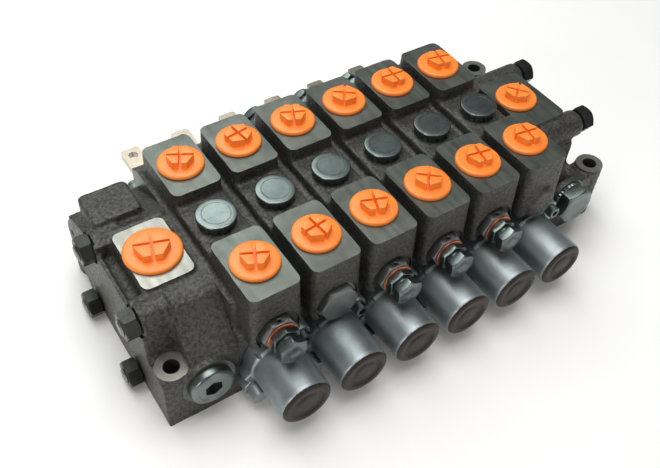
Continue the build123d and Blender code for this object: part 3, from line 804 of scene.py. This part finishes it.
def screwSpots(low, high):
    f = flangeShape
    spots = []
    for side in (-1, 1):
        spot = turned([(low, f["spot"]), (high, f["spot"])], 40)
        spots.append(stand(spot, "up", (side * f["earX"], side * f["earZ"], 0)))
    return spots


def springCap():  # the round end and its shallow dish stay dull and are coloured dark brown, a painted dark reflection
    parts = earedFlange()
    barrel = [(0, 19.5), (12, 19.5), (49.0, 19.1), (50.9, 18.2), (51.9, 16.4), (51.9, 13.5)]
    dish = [(50.6, 12.4), (50.4, 8.6), (51.3, 7.4), (51.5, 3.0)]
    parts.append(turned(barrel + dish, 96))
    piece = joined(parts)
    cast(piece, 0.75, 4, 0.05, 1.6)
    slicedOff(piece, (0, 0, 0.02), (0, 0, -1))
    for spot in screwSpots(12.0, 22):
        combine(piece, spot)
    hole = stand(turned([(8, 1.6), (14, 1.6)], 24), "up", (-14.2, 15.4, 0))
    combine(piece, hole)
    piece.data.materials.clear()
    piece.data.materials.append(finishes["cap_aluminium"])
    piece.data.materials.append(finishes["capEndDarkReflection"])
    for face in piece.data.polygons:
        # faces beyond 50 mm take the dark brown painted reflection
        face.material_index = int(face.center.z > 50.0 * mm)
    return smoothShaded(piece, 38)


cap = springCap()
for n in sectionNumbers:
    twin = stand(copied(cap), "front", (sectionX[n], frontFace, spoolZ))
    finished(twin, "springCap_%d" % n, "valve", "cap_aluminium", None, "spool_caps")
print("spring caps made", len(cap.data.polygons))


def socketScrew():  # M6 socket head screw along +Z, its head resting at 0
    shank = [(-20, 2.4), (-19.4, 3.0), (0, 3.0)]
    head = turned(shank + [(0, 4.6), (0.3, 5.0), (5.3, 5.0), (5.9, 4.4), (6.0, 3.4)], 60)
    ribbed(head, 60, 0.028, 0.2, 5.5)  # straight knurl round the head
    combine(head, prism(6, 5.0, 3.0, 8.0))
    return smoothShaded(head, 25)


screw = socketScrew()
for name, side, face, node in (
    ("capScrews", "front", frontFace - flangeShape["thick"], "cap_screws"),
    ("plateScrews", "back", backFace + flangeShape["thick"], "plate_screws"),
):
    ready = stand(copied(screw), side, (0, 0, 0))
    row = []
    for n in sectionNumbers:
        for way in (-1, 1):
            earZ = way * flangeShape["earZ"] * (1 if side == "front" else -1)
            row.append(copied(ready, (sectionX[n] + way * flangeShape["earX"], face, spoolZ + earZ)))
    finished(joined(row), name, "valve", "zinc_steel", finishes["zinc_steel"], node)
    bpy.data.objects.remove(ready)
bpy.data.objects.remove(cap)
bpy.data.objects.remove(screw)


def sealPlate():
    parts = earedFlange()
    parts.append(turned([(0, 15.5), (12, 15.3), (15.4, 15.0), (16, 14.5)], 72))
    piece = cast(joined(parts), 0.9, 3, 0.05, 1.6)
    slicedOff(piece, (0, 0, 0.02), (0, 0, -1))
    slicedOff(piece, (0, 0, 15.8), (0, 0, 1))
    for spot in screwSpots(12.0, 22):
        combine(piece, spot)
    combine(piece, turned([(-1, 9.3), (12, 9.3), (12, 12.55), (20, 12.55)], 72))
    return smoothShaded(piece, 38)


plate = stand(sealPlate(), "back", (0, 0, 0))
for n in sectionNumbers:
    twin = copied(plate, (sectionX[n], backFace, spoolZ))
    finished(twin, "sealPlate_%d" % n, "valve", "cap_aluminium", finishes["cap_aluminium"], "seal_plates")
bpy.data.objects.remove(plate)
print("flanges and screws made")


# Hexagon parts

def hexHead(across, low, high, turn, bothEnds=True, slope=0.5):  # a hexagon with its corners turned off
    piece = prism(6, across, low, high, turn)
    corner = across / 2 / math.cos(math.pi / 6)
    rim = across / 2 * 0.97
    drop = (corner - rim) * slope
    start = [(low, rim), (low + drop, corner + 0.05)] if bothEnds else [(low - 0.01, corner + 0.05)]
    drum = turned(start + [(high - drop, corner + 0.05), (high, rim)], 72)
    combine(piece, drum, "INTERSECT")
    return piece


def reliefBody():
    piece = hexHead(24.0, 0, 7, 30, False)
    combine(piece, bar((0, 5, 3.5), (0, 30, 3.5), 1.1, 24))  # cross hole in the upper flat
    return piece


def reliefCap():
    first = hexHead(19.0, 8.2, 13.7, 0)
    neck = turned([(13.2, 7.2), (13.7, 7.2), (14.2, 7.5), (15.6, 7.5), (16, 7.2), (16.4, 7.2)], 48)
    last = hexHead(19.0, 16, 23, 0, True, 0.8)
    dish = turned([(22.6, 3.4), (23.4, 3.9)], 40)
    combine(last, dish)
    return joined([first, neck, last])


def blankPlug():
    piece = hexHead(27.0, 0.9, 6.5, 30, False, 0.75)
    collar = turned([(0, 15.2), (0.2, 15.6), (0.9, 15.6), (0.9, 14.0)], 64)
    return joined([piece, collar])


frontReliefs = (1, 3, 4, 5)
backReliefs = (3, 4, 5)
frontReliefY = -79.0
backReliefY = 91.0
reliefSpots = [(n, "front", frontReliefY) for n in frontReliefs]
reliefSpots += [(n, "back", backReliefY) for n in backReliefs]
blankSpots = [(2, "front", frontReliefY)] + [(n, "back", backReliefY) for n in (1, 2, 6)]


def spread(master, spots, name, slot, node, width=0.25, angle=30):
    row = []
    for number, side, face in spots:
        row.append(stand(copied(master), side, (sectionX[number], face, reliefZ)))
    bpy.data.objects.remove(master)
    piece = joined(row)
    if width:
        softened(piece, width, 2, angle)
    return finished(smoothShaded(piece, 35), name, "valve", slot, finishes[slot], node)


spread(reliefBody(), reliefSpots, "reliefBodies", "dark_steel", "relief_valve_bodies")
copperRing = turned([(7.0, 8.0), (7.0, 11.0), (7.25, 11.4), (7.95, 11.4), (8.2, 11.0), (8.2, 8.0)], 64)
spread(copperRing, reliefSpots, "copperWashers", "copper", "relief_washers", 0)
spread(reliefCap(), reliefSpots, "reliefLockCaps", "zinc_steel", "relief_caps")
spread(blankPlug(), blankSpots, "blankPlugs", "dark_steel", "relief_blank_plugs")


def onValve(piece, angle, name, slot, finish, node):  # smooth and finished, on the valve's own body
    return finished(smoothShaded(piece, angle), name, "valve", slot, finishes[finish], node)


def mainReliefPlug():
    piece = turned([
        (0, 9), (0, 15.2), (0.4, 15.8), (4.6, 15.8), (5.5, 15.5), (6.3, 14.8), (6.85, 13.8), (7, 12.7),
        (7, 11.2), (6.6, 10.7), (6.6, 9.0),
    ], 96)
    combine(piece, prism(6, 12.0, 1.0, 9.0, 0))
    return piece


cartridge = stand(mainReliefPlug(), "front", (inletX, frontFace - 4, reliefPlugZ))
onValve(cartridge, 30, "mainReliefPlug", "zinc_steel", "zinc_steel", "main_relief_cartridge")

outletHex = hexHead(30.0, 0, 10, 40, False, 0.8)
combine(outletHex, turned([(9.7, 10.2), (10.4, 10.8)], 48))
stand(outletHex, "front", (outletPlugX, frontFace - 5, outletPlugZ))
onValve(softened(outletHex, 0.3), 35, "outletHexPlug", "zinc_steel", "zinc_steel", "outlet_plug")


washer = ribbed(turned([(0, 15.9), (0.3, 16.5), (2.7, 16.5), (3, 15.9)], 72), 72, 0.03, 0.1, 2.9)
stand(washer, "front", (outletPlugX, frontFace - 2, outletPlugZ))
onValve(washer, 20, "ribbedWasher", "zinc_steel", "zinc_steel", "outlet_plug_washer")


# Load check plugs

def checkPlug():
    piece = turned([
        (82, 10.5), (82.6, 11), (99, 11), (99, 13.0), (99.3, 13.4), (104, 13.4), (104, 13.9), (104.3, 14.2),
        (106.2, 14.2), (106.8, 13.8), (107, 13.0), (107, 10.4), (106.8, 10.2), (106.8, 9.9), (107, 9.7),
        (107, 3.0),
    ], 96)
    notches = []
    for step in range(12):
        angle = math.radians(step * 30 + 15)
        x, y = 14.6 * math.cos(angle), 14.6 * math.sin(angle)
        notches.append(bar((x, y, 98.9), (x, y, 103.9), 2.4, 20))
    combine(piece, joined(notches))
    combine(piece, turned([(80, 3.9), (96, 3.9)], 32))
    return piece


master = checkPlug()
row = [copied(master, (sectionX[n], 0, 0)) for n in sectionNumbers]
bpy.data.objects.remove(master)
onValve(joined(row), 32, "loadCheckPlugs", "zinc_steel", "zinc_steel", "check_plugs")


# Tie rods, washers and nuts

rodShape = {
    "radius": 6.0, "root": 5.3, "pitch": 1.75, "nut": 19.0, "nutThick": 10.0, "washerThick": 3.5, "over": 1.5,
}
rodReach = rodShape["washerThick"] + rodShape["nutThick"] + rodShape["over"]  # beyond the casting


def threadSteps(start, end):
    steps = []
    height = start
    while height < end - rodShape["pitch"]:
        steps += [(height, rodShape["radius"]), (height + rodShape["pitch"] / 2, rodShape["root"])]
        height += rodShape["pitch"]
    return steps


def tieRod(left, right):
    low, high = left - rodReach, right + rodReach
    steps = [(low, 4.7), (low + 0.9, 5.8)] + threadSteps(low + 1.1, low + 17)
    steps += threadSteps(high - 17, high - 1.1) + [(high - 0.9, 5.8), (high, 4.7)]
    return turned(steps, 48)


def tieNut():
    piece = hexHead(rodShape["nut"], 0, rodShape["nutThick"], 0, True, 0.7)
    combine(piece, turned([(-1, 6.05), (rodShape["nutThick"] + 1, 6.05)], 48))
    return softened(piece, 0.2, 2, 40)


def tieWashers():  # a flat washer under a spring washer
    flat = turned([(0, 10.8), (0.2, 11.0), (1.7, 11.0), (1.9, 10.8)], 72)
    spring = turned([(1.9, 9.2), (2.05, 9.5), (3.35, 9.5), (3.5, 9.2)], 72)
    piece = joined([flat, spring])
    combine(piece, turned([(-1, 6.4), (5, 6.4)], 48))
    return piece


nutMaster = tieNut()
washerMaster = tieWashers()
rods, nuts, washers = [], [], []
leftEdge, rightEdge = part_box("tie_rods")[0].x / mm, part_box("tie_rods")[1].x / mm
rodPlaces = [(y, rodHigh, leftEdge + rodReach + 2, rightEdge - rodReach) for y in upperRodsY]
rodPlaces += [(y, rodLow, leftEdge + rodReach, outletRight) for y in lowerRodsY]
for y, z, left, right in rodPlaces:
    rods.append(stand(tieRod(left, right), "right", (0, y, z)))
    for side, face in (("left", left), ("right", right)):
        seat = rodShape["washerThick"] if side == "right" else -rodShape["washerThick"]
        nuts.append(stand(copied(nutMaster), side, (face + seat, y, z)))
        washers.append(stand(copied(washerMaster), side, (face, y, z)))
bpy.data.objects.remove(nutMaster)
bpy.data.objects.remove(washerMaster)
onValve(joined(rods), 30, "tieRods", "black_steel", "dark_steel", "tie_rods")
onValve(joined(nuts), 32, "tieRodNuts", "black_steel", "black_steel", "tie_rod_nuts")
onValve(joined(washers), 30, "tieRodWashers", "black_steel", "dark_steel", "tie_rod_washers")
print("hexagon parts, check plugs and tie rods made")


# What the frame's own parts are finished in

slotOf = {row["node"]: row["material_slot"] for row in frame["record"]["subparts"]}
for node, piece in frame["nodes"].items():
    if not piece.hide_render:
        piece.data.materials.clear()
        piece.data.materials.append(finishes[slotOf[node]])
        smoothShaded(piece, 30)


# Floor and studio light

clearSelection()
bpy.ops.mesh.primitive_plane_add(size=30, location=(0, 0, 0))
floor = bpy.context.object
floor.name = "studioFloor"
paper = Finish("floorPaper")
mottle = paper.noise(6, 3, 0.5)
paperTone = paper.ramp(mottle, [(0.3, (0.93, 0.93, 0.93)), (0.7, (0.96, 0.96, 0.96))])
paper.link(paperTone, paper.shader.inputs["Base Color"])
setShader(paper, Roughness=0.9)
floor.data.materials.append(paper.material)

world = bpy.data.worlds.new("studio")
bpy.context.scene.world = world
world.use_nodes = True
world.node_tree.nodes["Background"].inputs["Color"].default_value = (1.0, 1.0, 1.0, 1)
world.node_tree.nodes["Background"].inputs["Strength"].default_value = 0.20


def softbox(name, place, target, size, power, colour):
    light = bpy.data.lights.new(name, "AREA")
    light.shape = "RECTANGLE"
    light.size, light.size_y = size
    light.energy = power
    light.color = colour
    lamp = bpy.data.objects.new(name, light)
    bpy.context.scene.collection.objects.link(lamp)
    lamp.location = place
    lamp.rotation_euler = (Vector(target) - Vector(place)).to_track_quat("-Z", "Y").to_euler()
    return lamp


softbox("topSoftbox", (-0.1, 0.1, 1.5), (0, 0, 0.05), (1.2, 1.2), 19, (1.0, 1.0, 0.98))
softbox("backSoftbox", (0.0, 0.80, 1.0), (-0.1, 0, 0.1), (0.8, 0.5), 4.5, (0.95, 1.0, 0.97))
softbox("leftSoftbox", (-1.2, -0.5, 0.55), (0, 0, 0.05), (0.5, 0.5), 4, (1.0, 0.93, 0.88))
softbox("frontFill", (0.3, -1.3, 0.35), (0, 0, 0.05), (0.8, 0.3), 2, (1.0, 0.86, 0.76))
bpy.context.scene.view_settings.view_transform = "Standard"

print("scene ready")
